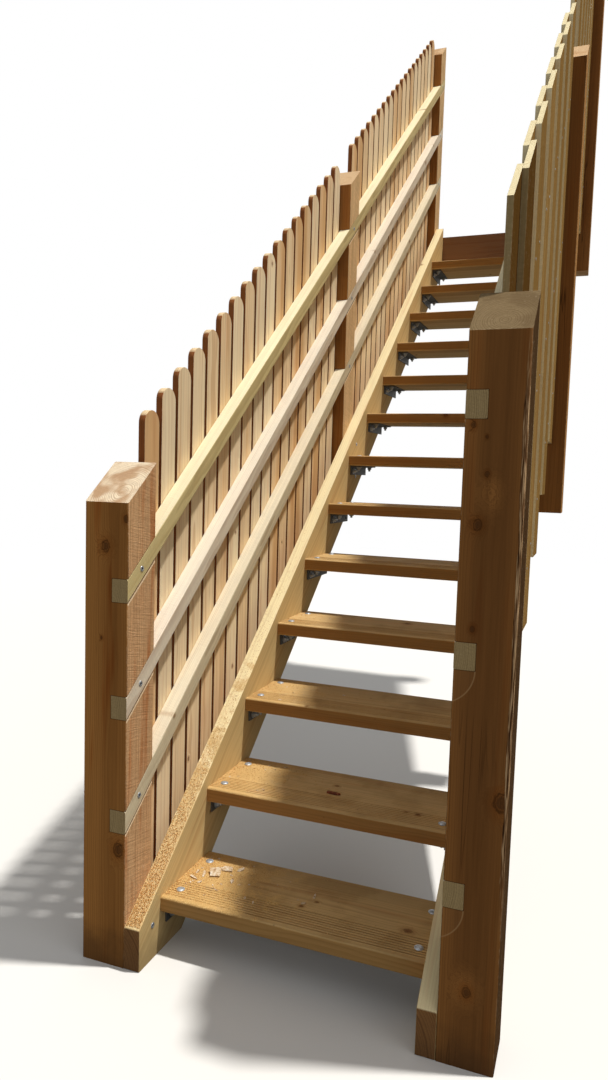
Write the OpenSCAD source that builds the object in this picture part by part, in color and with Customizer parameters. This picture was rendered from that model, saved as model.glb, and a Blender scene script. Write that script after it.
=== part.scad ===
// Straight timber deck stairs: open risers between two plain strings, newel,
// mid and top posts outside the strings, three housed rails a side,
// round-topped pickets on the left and a taller lapped paling screen on the right.
// Climbing direction is +Y, +X is the right hand going up.
// The origin is on the back of the head board, where the flight is bolted to a deck.

/* [Flight] */
// Number of treads
tread_count = 13; // [6:1:16]
// Rise from tread to tread
rise = 200; // [150:1:220]
// Going from nosing to nosing
going = 250; // [220:1:300]
// Height of the first tread above the ground
first_rise = 150; // [120:1:220]
// Clear width between the strings
clear_width = 705; // [600:5:1200]

/* [Treads] */
// Depth of a tread from front to back
tread_depth = 270; // [240:1:300]
// Thickness of a tread
tread_thick = 42; // [32:1:50]
// Radius of the eased front top edge
nosing_radius = 6; // [3:0.5:10]
// Number of non-slip grooves
groove_count = 8; // [3:1:12]
// Spacing of the grooves
groove_pitch = 10; // [8:0.5:14]
// Radius of the half-round grooves
groove_radius = 2.2; // [1:0.1:3]

/* [Strings] */
// Thickness of a string
string_thick = 45; // [35:1:60]
// Depth of a string, square to its slope
string_depth = 220; // [190:1:300]
// Height of the string's top edge above the nosing line, measured plumb
string_above_nosing = 40; // [10:1:80]
// How far the plumb-cut foot stands in front of the first nosing
foot_front = 100; // [60:1:160]
// Distance of the plumb head cut behind the last nosing
head_behind = 300; // [250:1:340]

/* [Posts] */
// Width of the square posts
post_width = 125; // [90:1:150]
// Front face of the mid posts
mid_post_y = 1540; // [1200:5:1900]
// Front face of the top posts
top_post_y = 3245; // [3150:5:3290]
// Left post tops above the nosing line, at their front faces
left_post_height = 1112; // [1000:1:1300]
// Right post tops above the nosing line, at their front faces
right_post_height = 1492; // [1300:1:1700]
// Radius of the eased post arrises
post_arris = 4; // [1:0.5:8]

/* [Rails] */
// Section of the rails, square
rail_size = 45; // [35:1:60]
// Top edge of the left rails above the nosing line, measured plumb
left_rail_heights = [340, 632, 925];
// Top edge of the right rails above the nosing line, measured plumb
right_rail_heights = [340, 857, 1374];
// Radius of the eased rail edges
rail_arris = 3; // [1:0.5:6]

/* [Pickets] */
// Width of a picket
picket_width = 70; // [40:1:100]
// Thickness of a picket
picket_thick = 19; // [12:1:25]
// Pickets in the lower bay
pickets_lower = 18; // [8:1:18]
// Pickets in the upper bay
pickets_upper = 19; // [8:1:19]
// Round tops above the nosing line
picket_top = 1210; // [1100:1:1400]
// Picket ends below the nosing line, behind the string
picket_drop = 130; // [60:1:180]

/* [Paling screen] */
// Width of a paling
paling_width = 150; // [100:1:150]
// Thickness of a paling
paling_thick = 15; // [10:1:20]
// Palings of both layers in the lower bay
palings_lower = 12; // [11:1:12]
// Palings of both layers in the upper bay
palings_upper = 13; // [12:1:13]
// Sloping top of the screen above the nosing line
paling_top = 1690; // [1500:1:1800]
// Square paling ends above the nosing line, at their middles
paling_lift = 95; // [0:1:150]

/* [Head board and brackets] */
// Thickness of the head board
head_board_thick = 45; // [35:1:60]
// Top of the head board above the last tread
head_board_rise = 225; // [180:1:240]
// Height of the head board
head_board_height = 235; // [190:1:290]
// Leg of the steel angles against the strings
angle_leg = 40; // [35:1:60]
// Leg of the steel angles under the treads
angle_shelf = 50; // [40:1:75]
// Thickness of the steel angles
angle_thick = 5; // [3:0.5:8]
// Length of the steel angles
angle_length = 220; // [200:1:240]
// Diameter of the bolt holes in the angles
angle_hole = 11; // [8:0.5:14]
// Spacing of the two bolts in each leg
angle_bolt_spacing = 165; // [120:1:180]

/* [Hidden] */
$fn = 32;

slope = rise / going;
pitch = atan(slope);
head_y = (tread_count - 1) * going + head_behind;
left_post_x = -string_thick - post_width;
right_post_x = clear_width + string_thick;
string_drop = string_depth / cos(pitch) - string_above_nosing;
last_tread_z = first_rise + (tread_count - 1) * rise;
head_board_top = last_tread_z + head_board_rise;
gap_post = 3;
far = 6000;

origin_x = clear_width / 2;
origin_y = head_y + head_board_thick;
origin_z = head_board_top - head_board_height / 2;

treated_pine = [0.84, 0.72, 0.50];
cypress = [0.72, 0.50, 0.28];
picket_brown = [0.76, 0.58, 0.38];
pale_pine = [0.90, 0.82, 0.66];
dark_hardwood = [0.34, 0.24, 0.18];
galvanised = [0.55, 0.56, 0.57];

// Height of the nosing line at a distance y from the first nosing
function nosing_z(y) = first_rise + slope * y;

// Moves the flight from its own setting-out to the origin on the head board
module in_frame() {
    translate([-origin_x, -origin_y, -origin_z]) children();
}

// Extrudes a profile drawn in the YZ plane along X, from x to x + width
module along_x(x, width) {
    translate([x, 0, 0])
        rotate([90, 0, 90])
            linear_extrude(height = width) children();
}

// Rectangle with all four corners rounded
module eased_rectangle(w, h, r) {
    translate([r, 0]) square([w - 2 * r, h]);
    translate([0, r]) square([w, h - 2 * r]);
    for (x = [r, w - r], y = [r, h - r])
        translate([x, y]) circle(r);
}

// Everything below a line parallel to the pitch, at a plumb height over the nosing line
module below_pitch(height) {
    polygon([
        [-far, nosing_z(-far) + height],
        [far, nosing_z(far) + height],
        [far, -2 * far],
        [-far, -2 * far]
    ]);
}

// Tread section: eased front edge and a band of half-round grooves behind it
module tread_section() {
    difference() {
        union() {
            translate([nosing_radius, 0]) square([tread_depth - nosing_radius, tread_thick]);
            translate([0, nosing_radius]) square([tread_depth, tread_thick - 2 * nosing_radius]);
            for (z = [nosing_radius, tread_thick - nosing_radius])
                translate([nosing_radius, z]) circle(nosing_radius);
        }
        for (i = [0 : groove_count - 1])
            translate([2 * groove_pitch + i * groove_pitch, tread_thick + groove_radius * 0.2])
                circle(groove_radius, $fn = 16);
    }
}

module tread(number) {
    color(treated_pine)
        in_frame()
            translate([0, (number - 1) * going, first_rise + (number - 1) * rise - tread_thick])
                along_x(0, clear_width) tread_section();
}

// String: sloping plank, plumb-cut front foot on the ground and plumb-cut head
module string_board(x) {
    color(treated_pine)
        in_frame()
            along_x(x, string_thick)
                intersection() {
                    difference() {
                        below_pitch(string_above_nosing);
                        below_pitch(-string_drop);
                    }
                    translate([-foot_front, 0]) square([foot_front + head_y, 2 * far]);
                }
}

module head_board() {
    color(dark_hardwood)
        in_frame()
            translate([-string_thick, head_y, head_board_top - head_board_height])
                cube([clear_width + 2 * string_thick, head_board_thick, head_board_height]);
}

// Rail laid parallel to the pitch, its ends cut plumb at the end posts
module rail(x, height) {
    run = top_post_y + post_width + foot_front;
    intersection() {
        translate([x, -foot_front, nosing_z(-foot_front) + height])
            rotate([pitch, 0, 0])
                translate([0, -rail_size, -rail_size])
                    rotate([-90, 0, 0])
                        translate([0, -rail_size, 0])
                            linear_extrude(height = run / cos(pitch) + 2 * rail_size)
                                eased_rectangle(rail_size, rail_size, rail_arris);
        translate([x - 1, -foot_front, 0]) cube([rail_size + 2, run, far]);
    }
}

left_rail_x = -string_thick - rail_size;
right_rail_x = clear_width + string_thick;

module left_rail(height) {
    color(pale_pine) in_frame() rail(left_rail_x, height);
}

module right_rail(height) {
    color(pale_pine) in_frame() rail(right_rail_x, height);
}

// Square post with its top cut to the pitch and housings for the three rails
module post(x, y, base, top, rail_x, heights) {
    in_frame()
        difference() {
            intersection() {
                translate([x, y, base])
                    linear_extrude(height = far) eased_rectangle(post_width, post_width, post_arris);
                along_x(x - 1, post_width + 2) below_pitch(top);
            }
            for (h = heights)
                housing(rail_x, h);
        }
}

// Housing that a rail fills, open on the inner face of its post
module housing(x, height) {
    along_x(x - (x < 0 ? 0 : 1), rail_size + 1)
        difference() {
            below_pitch(height);
            below_pitch(height - rail_size / cos(pitch));
        }
}

// Square end of a post that hangs on the string, level with the string's lower edge
function hung_base(y) = nosing_z(y) - string_drop;

module left_post(y, base) {
    color(cypress) post(left_post_x, y, base, left_post_height, left_rail_x, left_rail_heights);
}

module right_post(y, base) {
    color(cypress) post(right_post_x, y, base, right_post_height, right_rail_x, right_rail_heights);
}

// Round-topped picket, its centre at y
module picket(y) {
    top_z = nosing_z(y) + picket_top;
    base_z = nosing_z(y) - picket_drop;
    along_x(left_rail_x - picket_thick, picket_thick) {
        translate([y - picket_width / 2, base_z])
            square([picket_width, top_z - picket_width / 2 - base_z]);
        translate([y, top_z - picket_width / 2]) circle(picket_width / 2);
    }
}

// A bay of evenly spaced pickets between two posts
module picket_bay(from, to, count) {
    gap = (to - from - count * picket_width) / (count + 1);
    color(picket_brown)
        in_frame()
            for (i = [0 : count - 1])
                picket(from + gap + picket_width / 2 + i * (picket_width + gap));
}

// Paling with a square foot and its top cut to the pitch, front edge at y
module paling(x, y) {
    along_x(x, paling_thick)
        intersection() {
            translate([y, nosing_z(y + paling_width / 2) + paling_lift])
                square([paling_width, 2 * far]);
            below_pitch(paling_top);
        }
}

// One layer of a lapped bay: inner palings are the even ones, outer palings the odd ones
module paling_layer(from, to, count, layer) {
    step = (to - from - 2 * gap_post - paling_width) / (count - 1);
    x = right_rail_x + rail_size + layer * paling_thick;
    color(pale_pine)
        in_frame()
            for (i = [layer : 2 : count - 1])
                paling(x, from + gap_post + i * step);
}

// Steel angle under a tread end: one leg on the string, one under the tread, two bolts in each
module tread_angle(number, side) {
    tread_z = first_rise + (number - 1) * rise - tread_thick;
    centre_y = (number - 1) * going + tread_depth / 2;
    x = side < 0 ? 0 : clear_width;
    translate([x, centre_y - angle_length / 2, tread_z])
        mirror([side < 0 ? 0 : 1, 0, 0])
            difference() {
                translate([0, angle_length, 0])
                    rotate([90, 0, 0])
                        linear_extrude(height = angle_length) angle_section();
                for (y = [angle_length - angle_bolt_spacing, angle_length + angle_bolt_spacing] / 2) {
                    translate([angle_shelf * 0.6, y, -angle_thick - 1])
                        cylinder(d = angle_hole, h = angle_thick + 2);
                    translate([-1, y, -angle_leg * 0.6])
                        rotate([0, 90, 0]) cylinder(d = angle_hole, h = angle_thick + 2);
                }
            }
}

// Rolled angle section with a filleted root
module angle_section() {
    root = angle_thick;
    translate([0, -angle_leg]) square([angle_thick, angle_leg]);
    translate([0, -angle_thick]) square([angle_shelf, angle_thick]);
    difference() {
        translate([0, -angle_thick - root]) square(angle_thick + root);
        translate([angle_thick + root, -angle_thick - root]) circle(root);
    }
}

module tread_angles(side) {
    color(galvanised)
        in_frame()
            for (number = [1 : tread_count])
                tread_angle(number, side);
}

tread(1);  // tread_01
tread(2);  // tread_02
tread(3);  // tread_03
tread(4);  // tread_04
tread(5);  // tread_05
tread(6);  // tread_06
tread(7);  // tread_07
tread(8);  // tread_08
tread(9);  // tread_09
tread(10);  // tread_10
tread(11);  // tread_11
tread(12);  // tread_12
tread(13);  // tread_13
string_board(-string_thick);  // string_left
string_board(clear_width);  // string_right
head_board();
left_post(-foot_front, 0);  // newel_left
right_post(-foot_front, 0);  // newel_right
left_post(mid_post_y, hung_base(mid_post_y));  // mid_post_left
right_post(mid_post_y, hung_base(mid_post_y));  // mid_post_right
left_post(top_post_y, hung_base(top_post_y));  // top_post_left
right_post(top_post_y, hung_base(top_post_y));  // top_post_right
left_rail(left_rail_heights[0]);  // rail_left_bottom
left_rail(left_rail_heights[1]);  // rail_left_mid
left_rail(left_rail_heights[2]);  // rail_left_top
right_rail(right_rail_heights[0]);  // rail_right_bottom
right_rail(right_rail_heights[1]);  // rail_right_mid
right_rail(right_rail_heights[2]);  // rail_right_top
picket_bay(post_width - foot_front, mid_post_y, pickets_lower);  // pickets_left_lower
picket_bay(mid_post_y + post_width, top_post_y, pickets_upper);  // pickets_left_upper
paling_layer(post_width - foot_front, mid_post_y, palings_lower, 0);  // inner_palings_lower
paling_layer(mid_post_y + post_width, top_post_y, palings_upper, 0);  // inner_palings_upper
paling_layer(post_width - foot_front, mid_post_y, palings_lower, 1);  // outer_palings_lower
paling_layer(mid_post_y + post_width, top_post_y, palings_upper, 1);  // outer_palings_upper
tread_angles(-1);  // tread_angles_left
tread_angles(1);  // tread_angles_right
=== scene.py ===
import math
import random
from functools import partialmethod
from types import SimpleNamespace

import bpy
from mathutils import Matrix, Vector


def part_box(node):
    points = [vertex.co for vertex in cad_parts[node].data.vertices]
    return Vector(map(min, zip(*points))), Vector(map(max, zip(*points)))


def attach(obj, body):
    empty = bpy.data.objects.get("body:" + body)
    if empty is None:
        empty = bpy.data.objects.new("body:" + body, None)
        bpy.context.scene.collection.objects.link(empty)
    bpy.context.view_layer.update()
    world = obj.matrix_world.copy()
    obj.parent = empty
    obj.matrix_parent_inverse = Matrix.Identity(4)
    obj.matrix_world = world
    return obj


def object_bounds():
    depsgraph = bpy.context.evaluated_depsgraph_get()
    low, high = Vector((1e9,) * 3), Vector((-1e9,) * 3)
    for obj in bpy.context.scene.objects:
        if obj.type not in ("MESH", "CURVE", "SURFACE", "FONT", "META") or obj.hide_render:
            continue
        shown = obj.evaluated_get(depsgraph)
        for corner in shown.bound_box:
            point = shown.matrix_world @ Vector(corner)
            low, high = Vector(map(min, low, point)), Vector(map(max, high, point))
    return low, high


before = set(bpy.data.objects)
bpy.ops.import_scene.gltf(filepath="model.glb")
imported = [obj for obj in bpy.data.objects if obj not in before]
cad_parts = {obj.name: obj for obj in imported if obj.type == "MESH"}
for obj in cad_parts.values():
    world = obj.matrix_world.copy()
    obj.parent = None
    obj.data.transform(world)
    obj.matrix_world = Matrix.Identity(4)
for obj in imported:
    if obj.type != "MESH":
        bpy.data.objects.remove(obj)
cad_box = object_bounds()

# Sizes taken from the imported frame, in metres
TREADS = sorted(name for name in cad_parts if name.startswith("tread_") and name[6:].isdigit())
FIRST_LOW, FIRST_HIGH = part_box(TREADS[0])
SECOND_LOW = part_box(TREADS[1])[0]
RISE = SECOND_LOW.z - FIRST_LOW.z
GOING = SECOND_LOW.y - FIRST_LOW.y
PITCH = math.atan2(RISE, GOING)
TREAD_THICK = FIRST_HIGH.z - FIRST_LOW.z
LEFT_FACE = FIRST_LOW.x
RIGHT_FACE = FIRST_HIGH.x
GROUND = cad_box[0].z
NOSING = Vector((0, FIRST_LOW.y, FIRST_HIGH.z))
ALONG_X = Vector((1, 0, 0))
ALONG_Y = Vector((0, 1, 0))
ALONG_Z = Vector((0, 0, 1))
UP_SLOPE = Vector((0, math.cos(PITCH), math.sin(PITCH)))
OFF_SLOPE = Vector((0, -math.sin(PITCH), math.cos(PITCH)))

# Each side of the flight, the string's inner face there and which way along X is inward
SIDES = (("left", LEFT_FACE, 1), ("right", RIGHT_FACE, -1))
POSTS = ("newel_left", "newel_right", "mid_post_left", "mid_post_right", "top_post_left", "top_post_right")
RAIL_LEVELS = ("bottom", "mid", "top")

# Boards in each row of the fences
BOARDS = {
    "pickets_left_lower": 18,
    "pickets_left_upper": 19,
    "inner_palings_lower": 6,
    "inner_palings_upper": 7,
    "outer_palings_lower": 6,
    "outer_palings_upper": 6,
}
PICKET_WIDTH = 0.070
PALING_WIDTH = 0.150
STRING_DEPTH = 0.220
RAIL_SIZE = 0.045

# The band of grooves on a tread, from its front edge, and how far below its top they hold most dirt
GROOVES_FROM, GROOVES_TO = 0.017, 0.093
GROOVE_FLOOR = 0.0018


def nosing_z(y):
    """Height of the nosing line at y."""
    return NOSING.z + (y - NOSING.y) * RISE / GOING


def edge_z(top, y):
    """Height at y of an upper edge that climbs with the flight and ends at the corner top."""
    return top.z - (top.y - y) * RISE / GOING


def fence_row(node):
    """Corners of a fence row, the width of its boards and how far apart they start."""
    low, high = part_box(node)
    width = PICKET_WIDTH if node.startswith("pickets") else PALING_WIDTH
    return low, high, width, (high.y - low.y - width) / (BOARDS[node] - 1)


def srgb(red, green, blue):
    """A colour given in 0 to 255 screen values, as linear RGBA."""
    def linear(value):
        share = value / 255
        return share / 12.92 if share <= 0.04045 else ((share + 0.055) / 1.055) ** 2.4
    return (linear(red), linear(green), linear(blue), 1.0)


class Graph:
    """The node tree of a material or the world.

    An input is a value, another node's socket or a screen colour as a tuple of three. colour, height and
    roughness are what the surface has so far.
    """

    def __init__(self, owner):
        owner.use_nodes = True
        self.owner = owner
        self.tree = owner.node_tree
        self.tree.nodes.clear()
        self.colour = self.height = self.roughness = None

    def feed(self, socket, value):
        if isinstance(value, bpy.types.NodeSocket):
            self.tree.links.new(value, socket)
        elif isinstance(value, tuple) and len(value) == 3:
            socket.default_value = srgb(*value)
        else:
            socket.default_value = value

    def node(self, kind, inputs=None, **settings):
        made = self.tree.nodes.new(kind)
        for key, value in settings.items():
            setattr(made, key, value)
        for key, value in (inputs or {}).items():
            self.feed(made.inputs[key], value)
        return made

    def math(self, operation, *values):
        return self.node("ShaderNodeMath", dict(enumerate(values)), operation=operation).outputs[0]

    add = partialmethod(math, "ADD")
    sub = partialmethod(math, "SUBTRACT")
    mul = partialmethod(math, "MULTIPLY")
    div = partialmethod(math, "DIVIDE")
    larger = partialmethod(math, "MAXIMUM")
    below = partialmethod(math, "LESS_THAN")

    def rest(self, share):
        """What a share leaves of one."""
        return self.sub(1.0, share)

    def swing(self, value, reach):
        """A value from 0 to 1 turned into one from minus to plus half the reach."""
        return self.mul(self.sub(value, 0.5), reach)

    def length(self, a, b):
        """Length of a line with these two legs."""
        return self.math("SQRT", self.add(self.mul(a, a), self.mul(b, b)))

    def vector(self, x, y=0.0, z=0.0):
        return self.node("ShaderNodeCombineXYZ", {0: x, 1: y, 2: z}).outputs[0]

    def split(self, vector):
        return self.node("ShaderNodeSeparateXYZ", {0: vector}).outputs

    def dot(self, vector, axis):
        made = self.node("ShaderNodeVectorMath", {0: vector, 1: axis}, operation="DOT_PRODUCT")
        return made.outputs["Value"]

    def position(self):
        return self.node("ShaderNodeTexCoord").outputs["Object"]

    def random(self, seed):
        """White noise with one result for each seed."""
        return self.node("ShaderNodeTexWhiteNoise", {"W": seed}, noise_dimensions="1D")

    def noise(self, vector, scale, detail, roughness=0.5):
        inputs = {"Vector": vector, "Scale": scale, "Detail": detail, "Roughness": roughness}
        return self.node("ShaderNodeTexNoise", inputs).outputs[0]

    def cloud(self, scale, detail=2.0, roughness=0.5):
        """Noise that is the same in every direction."""
        return self.noise(self.position(), scale, detail, roughness)

    def grain(self, board, along, across, detail, roughness=0.5, run="log"):
        """Noise drawn out along a board, with its own fineness along and across it."""
        width = self.mul(board.width, across)
        depth = self.mul(board.depth, across)
        place = self.vector(self.mul(getattr(board, run), along), width, depth)
        return self.noise(place, 1.0, detail, roughness)

    def smooth(self, value, low, high, to_low=0.0, to_high=1.0, kind="SMOOTHSTEP"):
        """Smooth step from to_low at low to to_high at high."""
        inputs = {"Value": value, "From Min": low, "From Max": high, "To Min": to_low, "To Max": to_high}
        return self.node("ShaderNodeMapRange", inputs, interpolation_type=kind).outputs[0]

    def span(self, value, low, high, to_low, to_high):
        """Straight remap from low..high to to_low..to_high."""
        return self.smooth(value, low, high, to_low, to_high, "LINEAR")

    def fade(self, value, low, high):
        """Smooth step from one at low to nothing at high."""
        return self.smooth(value, low, high, 1.0, 0.0)

    def between(self, value, low, high, blur):
        """One from low to high, with a soft border of this width on either side."""
        return self.mul(self.smooth(value, low - blur, low), self.fade(value, high, high + blur))

    def apart(self, a, b):
        return self.math("ABSOLUTE", self.sub(a, b))

    def line(self, value, place, core, rim):
        """One within core of a place, nothing further from it than rim."""
        return self.fade(self.apart(value, place), core, rim)

    def rim_of(self, value, size, reach=0.004):
        """One at either side of a board of this size, nothing further in than reach."""
        return self.fade(self.math("MINIMUM", value, self.sub(size, value)), 0.0, reach)

    def mix(self, factor, a, b, blend="MIX"):
        inputs = {0: factor, 6: a, 7: b}
        return self.node("ShaderNodeMix", inputs, data_type="RGBA", blend_type=blend).outputs[2]

    def lay(self, share, tone):
        """Lays a tone over the colour so far, as far as the share says."""
        self.colour = self.mix(share, self.colour, tone)

    def tint(self, share, tone):
        """Multiplies the colour so far by a tone, as far as the share says."""
        self.lay(share, self.mix(1.0, self.colour, tone, "MULTIPLY"))

    def shade(self, colour, factor):
        """A colour made lighter or darker by a factor."""
        grey = self.node("ShaderNodeCombineColor", {0: factor, 1: factor, 2: factor}).outputs[0]
        return self.mix(1.0, colour, grey, "MULTIPLY")

    def ramp(self, value, stops):
        """Colour from (position, screen colour) stops."""
        made = self.node("ShaderNodeValToRGB", {0: value})
        elements = made.color_ramp.elements
        while len(elements) < len(stops):
            elements.new(0.5)
        for element, (position, colour) in zip(elements, stops):
            element.position = position
            element.color = srgb(*colour)
        return made.outputs[0]

    def finish(self, roughness, height, depth=0.0006, strength=0.7, specular=0.35, metallic=0.0):
        """Principled surface with a bump of the given depth in metres."""
        bump = self.node("ShaderNodeBump", {"Height": height, "Distance": depth, "Strength": strength})
        inputs = {"Base Color": self.colour, "Roughness": roughness, "Normal": bump.outputs[0]}
        shader = self.node("ShaderNodeBsdfPrincipled", inputs)
        shader.inputs["Specular IOR Level"].default_value = specular
        shader.inputs["Metallic"].default_value = metallic
        output = self.node("ShaderNodeOutputMaterial", {0: shader.outputs[0]})
        self.tree.nodes.active = output
        return self.owner


def material_graph(name):
    return Graph(bpy.data.materials.new(name))


# Length of log that the boards are cut from, so that no two look alike, and the slack that counts a
# board's first edge as its own
LOG_REACH = 40.0
ROW_SLACK = 0.0005


def board_frame(g, corner, along, across, depth, size, step=None, seed=0.0):
    """Coordinates on a board, its faces and arrises, and three random values for each board.

    size is the board's width and depth. With a step, the node is a row of boards that far apart.
    """
    inputs = {0: g.position(), 1: corner}
    place = g.node("ShaderNodeVectorMath", inputs, operation="SUBTRACT").outputs[0]
    normal = g.node("ShaderNodeNewGeometry").outputs["True Normal"]
    run = g.dot(place, along)
    width = g.dot(place, across)
    through = g.dot(place, depth)
    number = 0.0
    if step:
        number = g.math("FLOOR", g.div(g.add(width, ROW_SLACK), step))
        width = g.sub(width, g.mul(number, step))
    dice = g.split(g.random(g.add(number, seed)).outputs["Color"])
    rims = g.add(g.rim_of(width, size[0]), g.rim_of(through, size[1]))
    near_far_side = g.fade(g.sub(size[0], width), 0.0, 0.020)
    return {
        "run": run,
        "log": g.add(run, g.mul(dice[0], LOG_REACH)),
        "width": width,
        "depth": through,
        "on_end": g.smooth(g.math("ABSOLUTE", g.dot(normal, along)), 0.50, 0.70),
        "on_side": g.fade(g.math("ABSOLUTE", g.dot(normal, depth)), 0.35, 0.70),
        "on_outer": g.smooth(g.dot(normal, depth), 0.35, 0.70),
        "arris": g.smooth(rims, 1.05, 1.9),
        "far_arris": g.mul(near_far_side, g.fade(through, 0.0, 0.035)),
        "up": g.split(normal)[2],
        "number": number,
        "dice": dice,
    }


# What a timber looks like unless its own function says otherwise. Colours are screen values, sizes are
# metres and the rest are shares. A placed knot or swirl is (run, width, radius) on the board's face.
WOOD = {
    "early": (226, 186, 130), "early_b": (216, 172, 114), "late": (190, 142, 86), "contrast": 0.42,
    "heart": (180, 126, 76), "heart_radius": 0.0, "heart_blur": 0.02,
    "side": None, "side_late": (150, 100, 60), "side_rough": False, "first": None, "outer": None,
    "ring": 0.0048, "pith": (0.05, -0.06), "spread": (0.05, 0.03), "wander": 0.03,
    "knot": (110, 66, 36), "knot_size": 0.008, "knot_spacing": 0.55, "knot_share": 0.3, "placed_knots": (),
    "streak": 0.13, "fibre": 0.10, "blush": 0.25, "saw": 0.0, "swirls": (),
    "end": (186, 148, 104), "end_late": (146, 106, 68), "end_patch": 0.0,
    "wear": 0.5, "wane": 0.0, "housings": (), "arcs": (), "soil": 0.0, "grime": 0.0, "check": 0.0,
    "groove": 0.0, "roughness": 0.76, "specular": 0.1,
    "dust": 0.0, "dust_start": 0.0, "dust_reach": 0.3,
}

# Size of the coarse saw lines, and the part of the right newel's height that has the wane
SAW_PITCH = 0.006
WANE_FROM, WANE_TO, WANE_BLUR = 0.5, 1.4, 0.2

# Rays of knots for each radian round the pith, and how much knots are squashed along the grain
KNOT_RAYS = 1.3
KNOT_SQUASH = 0.8


def pith_distance(g, board):
    """How far the surface is from the log's wandering pith, across and through the board, and in all."""
    _, dice_b, dice_c = board.dice
    wander = g.noise(g.vector(g.mul(board.log, 0.9), g.mul(dice_b, 9.0)), 1.0, 1.0)
    pith_width = g.add(g.swing(dice_b, board.spread[0] * 2), board.pith[0])
    pith_width = g.add(pith_width, g.swing(wander, board.wander))
    pith_depth = g.add(g.swing(dice_c, board.spread[1] * 2), board.pith[1])
    off_width = g.sub(board.width, pith_width)
    off_depth = g.sub(board.depth, pith_depth)
    radius = g.length(off_width, off_depth)
    return off_width, off_depth, g.add(radius, g.swing(g.grain(board, 2.4, 11.0, 3.0), 0.014))


def ray_knots(g, board, angle, radius):
    """Distance from the nearest knot on a ray from the pith, and that knot's size."""
    cell = g.vector(g.div(board.log, board.knot_spacing), g.mul(angle, KNOT_RAYS))
    knots = g.node("ShaderNodeTexVoronoi", {"Vector": cell, "Scale": 1.0}, voronoi_dimensions="2D")
    cell_x, cell_y, _ = g.split(cell)
    point_x, point_y, _ = g.split(knots.outputs["Position"])
    knot_run = g.mul(g.sub(cell_x, point_x), board.knot_spacing * KNOT_SQUASH)
    knot_side = g.mul(g.div(g.sub(cell_y, point_y), KNOT_RAYS), radius)
    size_dice, share_dice, _ = g.split(knots.outputs["Color"])
    present = g.below(share_dice, board.knot_share)
    size = g.mul(g.span(size_dice, 0.0, 1.0, board.knot_size * 0.3, board.knot_size), present)
    size = g.larger(g.mul(size, g.smooth(radius, 0.012, 0.035)), 0.00001)
    return g.length(knot_run, knot_side), size


def face_distance(g, board, run, width, squash):
    """Distance on the board's face from a place on it, squashed along the grain."""
    return g.length(g.mul(g.sub(board.run, run), squash), g.sub(board.width, width))


def growth_rings(g, board):
    """Adds radius from the pith, late wood, distance from the nearest knot in its radii, and swirl."""
    off_width, off_depth, radius = pith_distance(g, board)
    gap, size = ray_knots(g, board, g.math("ARCTAN2", off_depth, off_width), radius)
    for run, width, knot_radius in board.placed_knots:
        own_gap = g.add(face_distance(g, board, run, width, 0.75), board.on_side)
        nearer = g.below(g.sub(own_gap, knot_radius), g.sub(gap, size))
        gap = g.add(g.mul(nearer, own_gap), g.mul(g.rest(nearer), gap))
        size = g.add(g.mul(nearer, knot_radius), g.mul(g.rest(nearer), size))
    wobble = g.cloud(130.0)
    ratio = g.mul(g.div(gap, size), g.span(wobble, 0.2, 0.8, 0.8, 1.2))
    swirl = g.fade(ratio, 0.3, 4.5)
    radius = g.add(radius, g.mul(g.mul(swirl, swirl), g.mul(size, 2.4)))
    for run, width, swirl_radius in board.swirls:
        own_gap = g.add(face_distance(g, board, run, width, 0.6), g.swing(wobble, 0.012))
        bulge = g.fade(g.add(own_gap, board.on_side), 0.0, swirl_radius)
        radius = g.add(radius, g.mul(bulge, swirl_radius * 0.9))
        swirl = g.larger(swirl, g.mul(bulge, 0.8))

    uneven = g.noise(g.vector(g.mul(radius, 60.0), board.dice[1]), 1.0, 1.0)
    phase = g.add(g.div(radius, board.ring), g.mul(uneven, 2.4))
    share = g.math("FRACT", phase)
    late = g.mul(g.smooth(share, 0.25, 0.88), g.fade(share, 0.88, 1.0))
    strength = g.span(g.random(g.math("FLOOR", phase)).outputs["Value"], 0.0, 1.0, 0.35, 1.0)
    board.radius, board.rings, board.ratio, board.swirl = radius, g.mul(late, strength), ratio, swirl


def ring_colours(g, board):
    """Light and dark wood of each ring, darker towards the heart, with the tones of single faces, which in
    some looks are partly painted light and shade.
    """
    g.colour = g.mix(board.dice[2], board.early, board.early_b)
    contrast = g.add(board.contrast, g.mul(board.swirl, 0.45))
    g.lay(g.mul(board.rings, contrast), board.late)
    if board.heart_radius:
        near = board.heart_radius - board.heart_blur
        far = board.heart_radius + board.heart_blur
        edge = g.add(board.radius, g.swing(g.grain(board, 1.3, 20.0, 2.0), 0.05))
        g.lay(g.mul(g.fade(edge, near, far), 0.85), board.heart)
    if board.side:
        late = g.mul(board.rings, board.contrast)
        g.lay(board.on_side, g.mix(late, board.side, board.side_late))
    # The outer tint darkens outer faces: painted shade.
    if board.outer:
        g.tint(board.on_outer, board.outer)
    # The first tint darkens a row's first board: painted shade.
    if board.first:
        g.tint(g.below(board.number, 0.5), board.first)


def streaks(g, board):
    """Streaks and fibres that run with the board, and reddish streaks among them."""
    streak = g.grain(board, 1.5, 60.0, 3.0, 0.6)
    fibre = g.grain(board, 12.0, 560.0, 2.0, 0.6)
    shade = g.add(1.0, g.swing(streak, board.streak * 2))
    shade = g.add(shade, g.swing(fibre, board.fibre * 2))
    g.colour = g.shade(g.colour, g.mul(shade, g.span(board.dice[1], 0.0, 1.0, 0.92, 1.05)))
    red = g.smooth(g.grain(board, 2.2, 34.0, 2.0), 0.54, 0.72)
    g.tint(g.mul(red, board.blush), (220, 168, 126))
    g.height = g.mul(fibre, 0.6)
    g.roughness = g.add(board.roughness, g.swing(streak, 0.25))


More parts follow.
